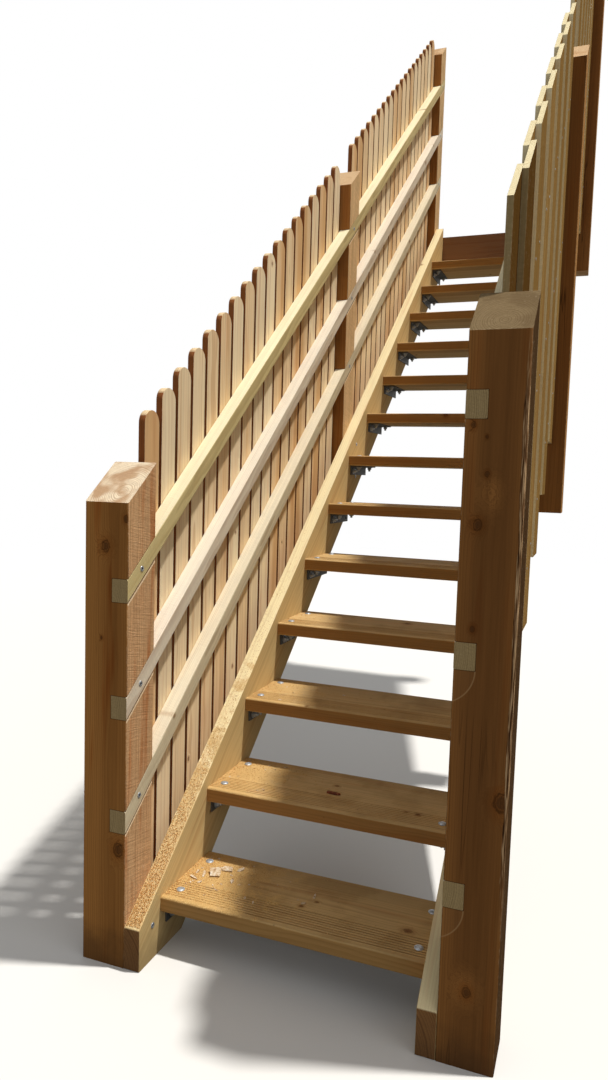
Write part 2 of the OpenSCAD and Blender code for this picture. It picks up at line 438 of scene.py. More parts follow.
def knot_marks(g, board):
    """Knots over the grain: a core of uneven darkness, a dark rim and a brown halo."""
    ratio = board.ratio
    rim = g.mul(g.smooth(ratio, 0.80, 1.0), g.fade(ratio, 1.0, 1.40))
    spokes = g.noise(g.vector(g.mul(ratio, 6.0), board.dice[0]), 1.0, 1.0)
    g.tint(g.mul(g.fade(ratio, 0.8, 3.4), 0.55), (196, 164, 132))
    g.lay(g.mul(g.fade(ratio, 0.55, 1.05), g.span(spokes, 0.3, 0.7, 0.5, 0.95)), board.knot)
    g.lay(g.mul(rim, 0.65), (60, 38, 22))


def groove_dirt(g, board):
    """Dirt on the floors of a tread's grooves."""
    floor = g.fade(board.depth, TREAD_THICK - GROOVE_FLOOR, TREAD_THICK - 0.0004)
    floor = g.mul(floor, g.between(board.width, GROOVES_FROM, GROOVES_TO, 0.002))
    g.tint(g.mul(floor, board.groove), (132, 104, 80))


def trodden_dirt(g, board):
    """Grey film on upward faces, and dark specks."""
    upward = g.mul(g.smooth(board.up, 0.4, 0.8), board.grime)
    g.tint(g.mul(g.smooth(g.cloud(7.0, 4.0, 0.6), 0.42, 0.66), upward), (206, 196, 178))
    speck = g.smooth(g.cloud(62.0, 2.0, 0.6), 0.70, 0.76)
    g.lay(g.mul(speck, board.grime * 0.7), (92, 66, 44))


def end_grain(g, board):
    """Sawn ends with their rings, pores and patches."""
    pores = g.grain(board, 60.0, 420.0, 2.0, run="run")
    sawn = g.mix(g.mul(board.rings, 0.8), board.end, board.end_late)
    sawn = g.shade(sawn, g.span(pores, 0.3, 0.7, 0.86, 1.08))
    if board.end_patch:
        patch = g.smooth(g.cloud(16.0, 2.0, 0.4), 0.50, 0.66)
        sawn = g.mix(g.mul(patch, board.end_patch), sawn, board.end_late)
    g.lay(board.on_end, sawn)


def saw_marks(g, board):
    """Uneven band-saw lines across the board with torn fibres; on rough sides only where that is asked."""
    across = g.add(board.width, board.depth)
    arc = g.add(g.add(board.run, g.mul(across, 0.20)), g.swing(g.cloud(7.0), 0.014))
    coarse = g.noise(g.vector(g.mul(arc, 1.0 / SAW_PITCH), g.mul(across, 7.0)), 1.0, 1.0)
    fine = g.noise(g.vector(g.mul(arc, 3.1 / SAW_PITCH), g.mul(across, 16.0)), 1.0, 2.0)
    patch = g.smooth(g.cloud(12.0), 0.30, 0.65, 0.35, 1.0)
    share = board.saw
    if board.side_rough:
        share = g.mul(g.larger(board.on_side, g.mul(board.on_end, 0.6)), board.saw)
    lines = g.add(g.sub(coarse, 0.5), g.swing(fine, 0.7))
    teeth = g.mul(g.mul(lines, patch), share)
    fuzz = g.cloud(120.0, 4.0, 0.75)
    lift = g.swing(fuzz, g.mul(share, 0.50))
    for uneven in (g.mul(teeth, 0.36), lift):
        g.colour = g.shade(g.colour, g.add(1.0, uneven))
    pale = g.mul(g.smooth(fuzz, 0.58, 0.72), g.mul(g.sub(patch, 0.35), share))
    g.lay(g.mul(pale, 0.6), (238, 218, 192))
    g.height = g.add(g.add(g.height, g.mul(teeth, 3.0)), g.mul(lift, 3.0))


def drying_checks(g, board):
    """Fine cracks along the grain, wider where there are more of them."""
    crack = g.line(g.grain(board, 0.7, 22.0, 3.0, 0.6), 0.5, 0.0, 0.003 + 0.012 * board.check)
    where = g.noise(g.vector(g.mul(board.log, 1.5), g.mul(board.width, 5.0)), 1.0, 1.0)
    crack = g.mul(g.mul(crack, g.smooth(where, 0.50, 0.62)), g.mul(g.rest(board.on_end), board.check))
    g.lay(g.mul(crack, 0.7), (52, 32, 20))
    g.height = g.sub(g.height, g.mul(crack, 3.0))


def worn_arrises(g, board):
    """Bruised edges: paler torn fibres with small dark nicks."""
    worn = g.mul(board.arris, g.mul(g.smooth(g.cloud(75.0, 3.0, 0.65), 0.42, 0.66), board.wear))
    g.lay(g.mul(worn, 0.6), g.mix(0.5, g.colour, (244, 222, 186)))
    nick = g.mul(board.arris, g.smooth(g.cloud(48.0), 0.66, 0.74))
    g.lay(g.mul(nick, board.wear * 0.5), (92, 60, 36))


def wane(g, board):
    """Torn and weathered strip along the far arris, where the log's own surface was left on."""
    ragged = g.grain(board, 7.0, 40.0, 4.0, 0.6)
    strip = g.smooth(g.add(board.far_arris, g.swing(ragged, 1.1)), 0.55, 0.68)
    here = g.between(board.run, WANE_FROM, WANE_TO, WANE_BLUR)
    strip = g.mul(g.mul(strip, here), board.wane)
    splinters = g.grain(board, 16.0, 300.0, 3.0)
    g.lay(strip, g.ramp(splinters, [(0.38, (66, 44, 28)), (0.50, (128, 92, 60)), (0.62, (206, 172, 130))]))
    g.height = g.add(g.mul(g.rest(strip), g.height), g.mul(strip, g.mul(splinters, 4.0)))


def housing_lines(g, board):
    """Dark joint round each let-in rail with a pale torn line under it, and saw overcuts in front."""
    x, _, z = g.split(g.position())
    off = g.dot(g.position(), OFF_SLOPE)
    joint = 0.0
    torn = 0.0
    for near_x, far_x, top in board.housings:
        underside = top - RAIL_SIZE
        inside_x = g.between(x, *sorted((near_x, far_x)), 0.0015)
        inside = g.between(off, underside, top, 0.0015)
        edges = g.line(g.apart(off, top - RAIL_SIZE / 2), RAIL_SIZE / 2, 0.0006, 0.0018)
        back = g.line(x, far_x, 0.0006, 0.0018)
        joint = g.larger(joint, g.larger(g.mul(edges, inside_x), g.mul(back, inside)))
        under = g.line(off, underside - 0.0042, 0.0016, 0.0030)
        torn = g.larger(torn, g.mul(under, inside_x))
    g.lay(g.mul(g.mul(torn, board.on_side), 0.85), (252, 228, 190))
    g.lay(g.mul(joint, 0.7), (52, 34, 22))
    for centre_x, centre_z, radius in board.arcs:
        reach = g.length(g.sub(x, centre_x), g.sub(z, centre_z))
        kerf = g.line(reach, radius, 0.0004, 0.0024)
        within = g.mul(g.fade(reach, radius - 0.001, radius), 0.12)
        front = g.rest(g.larger(board.on_side, board.on_end))
        here = g.mul(g.fade(z, centre_z - 0.001, centre_z), front)
        g.lay(g.mul(g.larger(kerf, within), g.mul(here, 0.34)), (214, 176, 128))


def dust_film(g, board):
    """Fine orange sawdust on upward faces, thinning out along the board."""
    near = g.fade(g.apart(board.run, board.dust_start), 0.0, board.dust_reach)
    grains = g.cloud(520.0, 2.0, 0.7)
    share = g.smooth(g.add(g.mul(near, 0.85), g.swing(g.cloud(22.0, 4.0, 0.6), 1.9)), 0.30, 0.62)
    share = g.mul(g.mul(share, g.smooth(grains, 0.32, 0.52)), g.smooth(board.up, 0.05, 0.4))
    share = g.mul(share, board.dust)
    g.lay(share, g.ramp(grains, [(0.35, (176, 128, 70)), (0.52, (212, 170, 104)), (0.68, (236, 208, 148))]))
    g.height = g.add(g.height, g.mul(g.mul(share, grains), 1.6))


def soil_splash(g, board):
    """Soil splashed on whatever is near the ground."""
    low = g.add(g.split(g.position())[2], g.swing(g.cloud(11.0, 4.0, 0.6), 0.16))
    g.lay(g.mul(g.fade(low, GROUND + 0.01, GROUND + 0.12), board.soil), (84, 60, 40))


# What is laid over the plain wood, in this order, each where the look has a value for its key
MARKS = {
    "groove": groove_dirt, "grime": trodden_dirt, "end": end_grain, "saw": saw_marks,
    "check": drying_checks, "wear": worn_arrises, "housings": housing_lines, "wane": wane,
    "dust": dust_film, "soil": soil_splash,
}


def wood(node, coords_of, bevel=0.0, **changes):
    """Dresses a node in solid wood cut from a log, its own look laid over the WOOD look."""
    g = material_graph(node)
    board = SimpleNamespace(**{**WOOD, **changes, **coords_of(g)})
    for step in (growth_rings, ring_colours, streaks, knot_marks):
        step(g, board)
    for key, mark in MARKS.items():
        if getattr(board, key):
            mark(g, board)
    dress(node, g.finish(g.roughness, g.height, specular=board.specular), bevel)


def dress(node, material, bevel=0.0):
    """Gives a CAD node its finish and, where asked, eased edges."""
    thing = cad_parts[node]
    thing.data.materials.clear()
    thing.data.materials.append(material)
    if bevel:
        weld = thing.modifiers.new("weld", "WELD")
        weld.merge_threshold = 0.00005
        ease = thing.modifiers.new("ease", "BEVEL")
        ease.width = bevel
        ease.segments = 2
        ease.limit_method = "ANGLE"
        ease.angle_limit = math.radians(40)
        ease.harden_normals = True


def upright(node, seed, size, step):
    """Board frame of a row of plumb boards, their width along Y."""
    low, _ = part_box(node)
    return lambda g: board_frame(g, low, ALONG_Z, ALONG_Y, ALONG_X, size, step, seed)


def post_frame(node, seed):
    """Board frame of a post, its width along X, seen from the foot of the flight."""
    low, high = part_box(node)
    size = (high.x - low.x, high.y - low.y)
    return lambda g: board_frame(g, low, ALONG_Z, ALONG_X, ALONG_Y, size, None, seed)


def sloping(node, seed, board_depth):
    """Board frame of a string or rail laid to the pitch, its width measured down from the top edge."""
    low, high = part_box(node)
    corner = Vector((low.x, high.y, high.z))
    size = (board_depth, high.x - low.x)
    return lambda g: board_frame(g, corner, UP_SLOPE, -OFF_SLOPE, ALONG_X, size, None, seed)


def level(node, seed, across=ALONG_Y, depth=ALONG_Z):
    """Board frame of a level board that spans the flight."""
    low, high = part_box(node)
    size = (across.dot(high - low), depth.dot(high - low))
    return lambda g: board_frame(g, low, ALONG_X, across, depth, size, None, seed)


# Sawdust on the lowest treads: strength and reach from the left string; then on all others
TREAD_DUST = ((0.92, 0.46), (0.75, 0.36), (0.50, 0.34), (0.30, 0.30), (0.20, 0.26))
HIGHER_DUST = (0.1, 0.2)

# Knots that the photograph shows: place along the tread, place across it, radius
TREAD_KNOTS = {
    "tread_01": ((0.635, 0.110, 0.007), (0.354, 0.107, 0.004), (0.385, 0.141, 0.003)),
    "tread_02": ((0.569, 0.083, 0.003), (0.340, 0.172, 0.004)),
}


def dress_treads():
    for number, node in enumerate(TREADS):
        dust, reach = TREAD_DUST[number] if number < len(TREAD_DUST) else HIGHER_DUST
        first = number == 0
        # The side tones on the tread fronts are partly painted shade, darker on all treads above the first.
        wood(
            node, level(node, 3.0 + number), pith=(0.13, -0.05), spread=(0.10, 0.03),
            early=(214, 182, 130), early_b=(206, 172, 118), late=(170, 134, 86), contrast=0.5,
            side=(186, 144, 88) if first else (174, 128, 74), side_late=(148, 108, 60),
            knot_size=0.007, knot_share=0.22, placed_knots=TREAD_KNOTS.get(node, ()), streak=0.14,
            groove=0.8 if first else 0.3, grime=0.5, dust=dust, dust_reach=reach,
        )


def dress_strings():
    for seed, (side, dust) in enumerate((("left", 0.75), ("right", 0.2))):
        node = f"string_{side}"
        low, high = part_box(node)
        foot = -(high.y - low.y) / math.cos(PITCH)
        wood(
            node, sloping(node, 31.0 + seed, STRING_DEPTH), bevel=0.002, pith=(0.10, -0.09),
            early=(218, 190, 134), early_b=(210, 180, 124), late=(182, 146, 94), contrast=0.45,
            side=(252, 236, 190), side_late=(222, 196, 142),
            ring=0.0058, wander=0.06, knot_size=0.009, knot_share=0.2, streak=0.09, fibre=0.08,
            end=(150, 108, 66), end_late=(104, 70, 42), soil=0.4,
            dust=dust, dust_start=foot, dust_reach=1.3,
        )


POST_LOOK = {
    "early": (180, 126, 72), "early_b": (172, 118, 66), "late": (140, 92, 50), "heart": (138, 90, 48),
    "side": (226, 190, 142), "side_late": (194, 148, 98), "end": (222, 190, 150), "end_late": (184, 140, 98),
    "pith": (0.070, 0.050), "spread": (0.02, 0.02), "ring": 0.0046, "contrast": 0.50,
    "heart_radius": 0.042, "heart_blur": 0.03, "knot": (84, 56, 34), "knot_size": 0.010,
    "knot_share": 0.12, "streak": 0.20, "fibre": 0.13, "saw": 0.9, "side_rough": True,
    "check": 0.9, "soil": 0.6, "end_patch": 0.5, "wear": 0.8, "specular": 0.0,
}
SHADED_POST = {
    "early": (148, 100, 56), "early_b": (140, 94, 50), "late": (110, 72, 38), "heart": (116, 76, 40),
    "side": (186, 138, 86), "side_late": (150, 104, 60),
}
NEWEL_LOOKS = {
    "newel_left": {
        "early": (180, 126, 68), "early_b": (170, 116, 60), "late": (132, 88, 46), "heart": (134, 88, 44),
        "side": (206, 164, 120), "side_late": (148, 100, 62),
        "end": (246, 228, 198), "end_late": (178, 134, 94), "end_patch": 0.75,
        "blush": 0.7, "check": 0.15,
        "placed_knots": (
            (1.143, 0.118, 0.006), (1.074, 0.061, 0.010), (0.309, 0.105, 0.012), (0.845, 0.050, 0.003),
        ),
    },
    "newel_right": {
        "early": (172, 118, 64), "early_b": (164, 112, 60), "late": (120, 80, 44), "heart": (120, 80, 44),
        "heart_radius": 0.062,
        # The dark side tones are painted shade on the side faces, and the dark end tones partly painted shade
        # on the top.
        "side": (84, 62, 40), "side_late": (62, 45, 29), "end": (134, 114, 84), "end_late": (104, 84, 59),
        "check": 1.0, "streak": 0.28,
        "placed_knots": (
            (1.374, 0.018, 0.0045), (1.350, 0.046, 0.0025), (1.275, 0.050, 0.004),
            (1.172, 0.036, 0.008), (0.957, 0.035, 0.0045), (0.600, 0.112, 0.014), (0.173, 0.060, 0.008),
        ),
        "swirls": ((1.235, 0.062, 0.040), (0.180, 0.058, 0.045)),
        "wane": 1.0,
    },
}
OVERCUT_REACH = 0.030


def rail_housings(side):
    """The rails let into the posts on one side: inner face, far side and upper edge off the slope."""
    places = []
    for rail_level in RAIL_LEVELS:
        low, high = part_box(f"rail_{side}_{rail_level}")
        near_x, far_x = (high.x, low.x) if side == "left" else (low.x, high.x)
        places.append((near_x, far_x, OFF_SLOPE.dot(Vector((0, high.y, high.z)))))
    return places


def overcuts():
    """Arcs under the two lower rail ends on the front of the right newel."""
    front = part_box("newel_right")[0].y
    places = []
    for near_x, far_x, top in rail_housings("right")[:2]:
        underside = (top - RAIL_SIZE + math.sin(PITCH) * front) / math.cos(PITCH)
        places.append((near_x - OVERCUT_REACH, underside, abs(far_x - near_x) + OVERCUT_REACH))
    return places


def dress_posts():
    for seed, node in enumerate(POSTS):
        side = node.rsplit("_", 1)[1]
        own = NEWEL_LOOKS.get(node, SHADED_POST if side == "right" else {})
        look = {**POST_LOOK, **own, "housings": rail_housings(side)}
        if node == "newel_right":
            look["arcs"] = overcuts()
        wood(node, post_frame(node, 57.0 + seed), bevel=0.0015, **look)


# The pale side tones on the rails' upper and lower faces are partly a painted highlight of sunlit tops.
RAIL_TONES = {
    "top": {"early": (226, 208, 154), "early_b": (216, 196, 140), "late": (184, 158, 104),
            "side": (254, 246, 212), "side_late": (224, 202, 152)},
    "mid": {"early": (228, 214, 190), "early_b": (220, 204, 180), "late": (186, 160, 132),
            "side": (246, 238, 220), "side_late": (204, 180, 154)},
    "bottom": {"early": (226, 212, 178), "early_b": (218, 202, 168), "late": (182, 156, 120),
               "side": (248, 238, 212), "side_late": (204, 181, 144)},
}


def dress_rails():
    for seed, node in enumerate(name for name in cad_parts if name.startswith("rail_")):
        wood(
            node, sloping(node, 83.0 + seed, RAIL_SIZE), **RAIL_TONES[node.split("_")[-1]],
            pith=(0.02, -0.09), spread=(0.02, 0.02), ring=0.0040, contrast=0.65, blush=0.08,
            knot=(150, 104, 66), knot_size=0.006, knot_spacing=0.5, streak=0.16, fibre=0.14,
            saw=0.25, wear=0.7, end=(178, 154, 110), end_late=(134, 112, 74),
        )


# The dark side tones on the pickets' narrow edges are partly painted shade.
PICKET_LOOK = {
    "early": (254, 234, 196), "early_b": (240, 206, 158), "late": (204, 156, 104), "contrast": 0.5,
    "heart": (220, 174, 120), "heart_radius": 0.054, "heart_blur": 0.008, "pith": (0.035, -0.05),
    "knot": (128, 76, 42), "knot_size": 0.005, "knot_share": 0.22,
    "side": (150, 92, 50), "side_late": (120, 70, 38), "end": (240, 214, 172), "end_late": (206, 164, 116),
}
# On the palings the pale side tones of the edges, the darker broad faces and the outer tint are partly
# painted light and shade: lit edges, shaded broad and outer faces.
PALING_LOOK = {
    "early": (210, 192, 148), "early_b": (198, 178, 132), "late": (160, 134, 90), "contrast": 0.4,
    "pith": (0.07, -0.05), "spread": (0.07, 0.03), "ring": 0.005,
    "knot": (140, 100, 62), "knot_size": 0.007, "knot_share": 0.25, "streak": 0.16, "saw": 0.7,
    "side": (244, 230, 188), "side_late": (206, 180, 130),
    "end": (240, 226, 186), "end_late": (214, 192, 144),
    "outer": (186, 160, 124), "specular": 0.0,
}
SHADED_FIRST_PALING = (168, 156, 138)


def dress_fences():
    for seed, node in enumerate(BOARDS):
        low, high, width, step = fence_row(node)
        coords = upright(node, 111.0 + 20 * seed, (width, high.x - low.x), step)
        if node.startswith("pickets"):
            wood(node, coords, bevel=0.0015, **PICKET_LOOK)
            continue
        first = SHADED_FIRST_PALING if node.endswith("lower") else None
        wood(node, coords, bevel=0.0008, first=first, **PALING_LOOK)


def dress_head_board():
    # The paler side tones on the top and bottom edges are partly a painted highlight of the sunlit top edge.
    wood(
        "head_board", level("head_board", 7.0, ALONG_Z, ALONG_Y), bevel=0.002, pith=(0.1, -0.05), ring=0.0035,
        early=(156, 118, 90), early_b=(148, 110, 82), late=(116, 82, 60), check=0.6,
        side=(196, 164, 130), side_late=(160, 126, 96), end=(148, 112, 84), end_late=(112, 80, 58),
        knot=(80, 54, 38), knot_size=0.005,
    )


def galvanised(name, dull, bright, metallic, rough):
    """Zinc coating: soft spangle, dull streaks and a little rust."""
    g = material_graph(name)
    crystals = g.node("ShaderNodeTexVoronoi", {"Vector": g.position(), "Scale": 260.0})
    spangle, _, _ = g.split(crystals.outputs["Color"])
    cloud = g.cloud(38.0, 4.0, 0.6)
    g.colour = g.shade(g.mix(cloud, dull, bright), g.span(spangle, 0.0, 1.0, 0.86, 1.08))
    g.lay(g.mul(g.smooth(g.cloud(90.0, 3.0), 0.60, 0.76), 0.4), (120, 96, 74))
    roughness = g.add(rough, g.mul(cloud, 0.22))
    return g.finish(roughness, g.cloud(700.0), 0.0002, 0.4, 0.5, metallic)


dress_treads()
dress_strings()
dress_posts()
dress_rails()
dress_fences()
dress_head_board()
ZINC = galvanised("zinc_fasteners", (146, 152, 158), (194, 199, 204), 0.55, 0.36)
# The angles' dark tones are partly painted shade under the treads.
ANGLE_STEEL_PAINTED_SHADE = galvanised("angle_steel_painted_shade", (70, 69, 66), (104, 105, 103), 0.35, 0.50)
# The sockets' near-black tones are painted shade of the socket holes.
PAINTED_SOCKET_SHADE = galvanised("painted_socket_shade", (34, 33, 32), (58, 56, 52), 0.2, 0.55)
dress("tread_angles_left", ANGLE_STEEL_PAINTED_SHADE)
dress("tread_angles_right", ANGLE_STEEL_PAINTED_SHADE)


def side_faces(levels, count):
    """Faces between the levels of a shape, each level a closed ring of points, bottom to top."""
    faces = []
    for base in range(0, (levels - 1) * count, count):
        for i in range(count):
            after = (i + 1) % count
            faces.append((base + i, base + after, base + count + after, base + count + i))
    return faces


def end_faces(levels, count):
    """The bottom face and the top face of such a shape."""
    return tuple(reversed(range(count))), tuple(range((levels - 1) * count, levels * count))


def ring_shape(profile, sides):
    """Closed turned or prismatic shape about Z from (radius, height) points, bottom to top."""
    points = []
    for radius, height in profile:
        for i in range(sides):
            turn = 2 * math.pi * i / sides
            points.append(Vector((radius * math.cos(turn), radius * math.sin(turn), height)))
    return points, [*side_faces(len(profile), sides), *end_faces(len(profile), sides)]


# Corners of a chip's outline, and its levels as shares of the outline and of the thickness
FLAKE_CORNERS = 6
FLAKE_LEVELS = ((1.0, 0.0), (1.0, 0.8), (0.96, 1.0), (0.45, 0.8))


def squared(value):
    """A sine or cosine pushed outward, which turns a circle into a rounded square."""
    return math.copysign(abs(value) ** 0.6, value)


def flake(dice, length, width, thickness):
    """A flat chip of wood with a ragged outline, a little curled, its top slightly hollow."""
    curl = dice.uniform(0.02, 0.10) / length
    outline = []
    for i in range(FLAKE_CORNERS):
        turn = 2 * math.pi * (i + dice.uniform(-0.32, 0.32)) / FLAKE_CORNERS
        reach = dice.uniform(0.55, 1.0)
        x = squared(math.cos(turn)) * length / 2 * reach
        y = squared(math.sin(turn)) * width / 2 * reach
        outline.append((x, y))
    points = []
    for inset, height in FLAKE_LEVELS:
        for x, y in outline:
            points.append(Vector((x * inset, y * inset, curl * x * x + thickness * height)))
    bottom, top = end_faces(len(FLAKE_LEVELS), FLAKE_CORNERS)
    return points, [bottom, *side_faces(len(FLAKE_LEVELS), FLAKE_CORNERS), top]


class Batch:
    """Many small shapes joined into one piece."""

    def __init__(self):
        self.points = []
        self.faces = []

    def put(self, shape, place, facing=ALONG_Z, spin=0.0, scale=(1, 1, 1)):
        points, faces = shape
        turn = facing.to_track_quat("Z", "Y").to_matrix()
        turn = turn @ Matrix.Rotation(spin, 3, "Z") @ Matrix.Diagonal(scale)
        start = len(self.points)
        self.points.extend(turn @ point + place for point in points)
        self.faces.extend(tuple(start + index for index in face) for face in faces)

    def build(self, name, material=ZINC, smooth_angle=40):
        mesh = bpy.data.meshes.new(name)
        mesh.from_pydata(self.points, [], self.faces)
        mesh.update()
        thing = bpy.data.objects.new(name, mesh)
        bpy.context.scene.collection.objects.link(thing)
        mesh.materials.append(material)
        if smooth_angle:
            mesh.polygons.foreach_set("use_smooth", [True] * len(mesh.polygons))
            mesh.set_sharp_from_angle(angle=math.radians(smooth_angle))
        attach(thing, "root")


# Fasteners, seated just under the surface they stand on
WASHER_THICK = 0.002
DOME = ring_shape([(0.0112, -0.001), (0.0115, 0.0004), (0.0108, 0.0015), (0.0084, 0.0028), (0.0048, 0.0036),
                   (0.0012, 0.0039)], 22)
WASHER = ring_shape([(0.0125, -0.0005), (0.0130, 0.0004), (0.0130, 0.0016), (0.0125, WASHER_THICK)], 24)
NUT = ring_shape([(0.0092, -0.0002), (0.0098, 0.0008), (0.0098, 0.0072), (0.0090, 0.0082)], 6)
STUD = ring_shape([(0.0049, 0.0), (0.0049, 0.0145), (0.0042, 0.0158)], 16)
SCREW = ring_shape([(0.0072, -0.0006), (0.0076, 0.0002), (0.0070, 0.0012), (0.0036, 0.0014),
                    (0.0034, 0.0005)], 20)
# A thin hex plate in each screw head's recess, its darkness painted shade of the socket hole.
SOCKET = ring_shape([(0.0034, 0.0002), (0.0034, 0.0007)], 6)
NAIL = ring_shape([(0.0032, -0.0006), (0.0034, 0.0004), (0.0030, 0.0010)], 10)

# The steel angles: bolts along them, their two legs, their thickness and the bolt line's share of a leg
BOLT_SPACING = 0.165
SHELF = 0.050
LEG = 0.040
STEEL_THICK = 0.005
BOLT_LINE = 0.6

# Free timber that a bolt head needs round its centre
HEAD_ROOM = 0.015

# Coach screws below the nosing line, for each kind of post
SCREW_DROPS = {"newel": (0.028,), "mid_post": (0.03, 0.17), "top_post": (0.03, 0.17)}

# Nails either side of a board's middle, as a share of its width, and below a rail's upper edge
NAIL_SHARE = 0.27
NAIL_DROP = 0.029


def put_nut(batch, place, facing, dice):
    batch.put(WASHER, place, facing)
    batch.put(NUT, place + facing * WASHER_THICK, facing, dice.uniform(0, math.pi))
    batch.put(STUD, place + facing * WASHER_THICK, facing)


def bolt_rows():
    """The two bolt places along each tread, as (tread's low corner, tread's high corner, y)."""
    for node in TREADS:
        low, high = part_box(node)
        middle = (low.y + high.y) / 2
        for y in (middle - BOLT_SPACING / 2, middle + BOLT_SPACING / 2):
            yield low, high, y


def behind_post(y, side):
    """True where a post covers the outside of the string at y."""
    boxes = [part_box(name) for name in POSTS if name.endswith(side)]
    return any(low.y - HEAD_ROOM < y < high.y + HEAD_ROOM for low, high in boxes)


def string_holds(y, z):
    """True where the string is deep enough for a bolt head at this place."""
    lower_edge = edge_z(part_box("string_left")[1], y) - STRING_DEPTH / math.cos(PITCH)
    return z - lower_edge > HEAD_ROOM


def string_outside(side):
    """X of the string's outer face."""
    low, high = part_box(f"string_{side}")
    return low.x if side == "left" else high.x


def add_tread_bolts():
    """Bolts through the treads and, where the string's timber covers the hole, through the strings."""
    dice = random.Random(11)
    tops = Batch()
    nuts = Batch()
    sides = Batch()
    for low, high, y in bolt_rows():
        for side, face, inward in SIDES:
            x = face + inward * SHELF * BOLT_LINE
            tops.put(DOME, Vector((x, y, high.z)), ALONG_Z, dice.uniform(0, math.pi))
            put_nut(nuts, Vector((x, y, low.z - STEEL_THICK)), -ALONG_Z, dice)
            z = low.z - LEG * BOLT_LINE
            if not string_holds(y, z):
                continue
            put_nut(sides, Vector((face + inward * STEEL_THICK, y, z)), ALONG_X * inward, dice)
            if not behind_post(y, side):
                sides.put(DOME, Vector((string_outside(side), y, z)), -ALONG_X * inward)
    tops.build("tread_bolt_heads")
    nuts.build("tread_bolt_nuts")
    sides.build("string_bolts")


def rail_screws():
    """A screw through each rail into each post, as (place, facing)."""
    for side, _, inward in SIDES:
        posts = [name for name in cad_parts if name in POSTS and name.endswith(side)]
        for rail_level in RAIL_LEVELS:
            low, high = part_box(f"rail_{side}_{rail_level}")
            plumb = (high.x - low.x) / math.cos(PITCH)
            face = high.x if inward > 0 else low.x
            for post in posts:
                post_low, post_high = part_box(post)
                y = (post_low.y + post_high.y) / 2
                yield Vector((face, y, edge_z(high, y) - plumb / 2)), ALONG_X * inward


def post_screws():
    """Coach screws through the strings into the posts, as (place, facing)."""
    for side, face, inward in SIDES:
        for kind, drops in SCREW_DROPS.items():
            low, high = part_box(f"{kind}_{side}")
            y = (low.y + high.y) / 2
            for drop in drops:
                yield Vector((face, y, nosing_z(y) - drop)), ALONG_X * inward


def add_screws(name, seed, places):
    """Screw heads with dark sockets; the sockets' darkness is painted shade of their holes."""
    dice = random.Random(seed)
    heads = Batch()
    sockets = Batch()
    for place, facing in places:
        heads.put(SCREW, place, facing)
        sockets.put(SOCKET, place, facing, dice.uniform(0, math.pi))
    heads.build(f"{name}_screws")
    sockets.build(f"{name}_screw_sockets", PAINTED_SOCKET_SHADE)


def add_nails():
    """Two nail heads where each picket or paling crosses each rail, none quite in line or square."""
    dice = random.Random(14)
    pickets = Batch()
    palings = Batch()
    for node, count in BOARDS.items():
        low, high, width, step = fence_row(node)
        picket = node.startswith("pickets")
        batch = pickets if picket else palings
        side = "left" if picket else "right"
        face = low.x if picket else high.x
        out = -1 if picket else 1
        for i in range(count):
            for rail_level in RAIL_LEVELS:
                _, rail_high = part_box(f"rail_{side}_{rail_level}")
                for share in (-NAIL_SHARE, NAIL_SHARE):
                    y = low.y + width / 2 + i * step + share * width + dice.uniform(-0.004, 0.004)
                    z = edge_z(rail_high, y) - NAIL_DROP + dice.uniform(-0.006, 0.006)
                    lean = Vector((out, dice.uniform(-0.06, 0.06), dice.uniform(-0.06, 0.06))).normalized()
                    batch.put(NAIL, Vector((face, y, z)), lean)
    pickets.build("picket_nails")
    palings.build("paling_nails")


def bark():
    g = material_graph("bark")
    x, y, _ = g.split(g.position())
    fibre = g.noise(g.vector(g.mul(x, 60.0), g.mul(y, 500.0)), 1.0, 3.0)
    g.colour = g.ramp(fibre, [(0.32, (70, 34, 20)), (0.50, (122, 64, 38)), (0.68, (166, 100, 62))])
    return g.finish(0.8, fibre, 0.0006, 0.8)


def sawdust():
    g = material_graph("sawdust")
    tone = g.cloud(420.0, 1.0)
    g.colour = g.ramp(tone, [(0.30, (178, 124, 68)), (0.48, (206, 156, 88)), (0.68, (230, 192, 134))])
    return g.finish(0.85, g.cloud(1500.0, 1.0), 0.0002, 0.5)


def chip_wood():
    g = material_graph("chip_wood")
    x, y, _ = g.split(g.position())
    grain = g.noise(g.vector(g.mul(x, 120.0), g.mul(y, 700.0)), 1.0, 3.0)
    tone = g.cloud(95.0, 3.0, 0.6)
    pale = g.ramp(tone, [(0.32, (160, 112, 74)), (0.46, (218, 190, 152)), (0.64, (238, 226, 206))])
    g.colour = g.shade(pale, g.span(grain, 0.25, 0.75, 0.66, 1.08))
    return g.finish(0.8, grain, 0.0008, 0.9, 0.1)


# Chips on the lowest tread: metres from the left string and from the tread's front, length, width, turn
CHIPS = (
    (0.080, 0.158, 0.054, 0.050, 12), (0.100, 0.192, 0.040, 0.024, 20), (0.050, 0.148, 0.034, 0.009, 110),
    (0.034, 0.118, 0.044, 0.011, 165), (0.028, 0.150, 0.026, 0.008, 80), (0.060, 0.104, 0.018, 0.008, 60),
    (0.139, 0.141, 0.024, 0.014, 95), (0.135, 0.205, 0.026, 0.010, 40), (0.355, 0.118, 0.022, 0.010, 5),
    (0.372, 0.160, 0.018, 0.009, 80),
)
CHIP_THICK = 0.0024

# How many grains lie on the left string, and grains and small chips on the treads from the lowest up
STRING_GRAINS = 5200
TREAD_GRAINS = (2200, 1100, 500, 260, 150, 90)
SMALL_CHIPS = (26, 14, 6, 3)
GRAIN = ring_shape([(0.0006, -0.0004), (0.0007, 0.0002), (0.0003, 0.0006)], 3)

# The stick of bark on the second tread: place from the string and the tread's front, size and turn
STICK_PLACE = (0.347, 0.112)
STICK_SIZE = (0.060, 0.013, 0.006)
STICK_TURN = -8


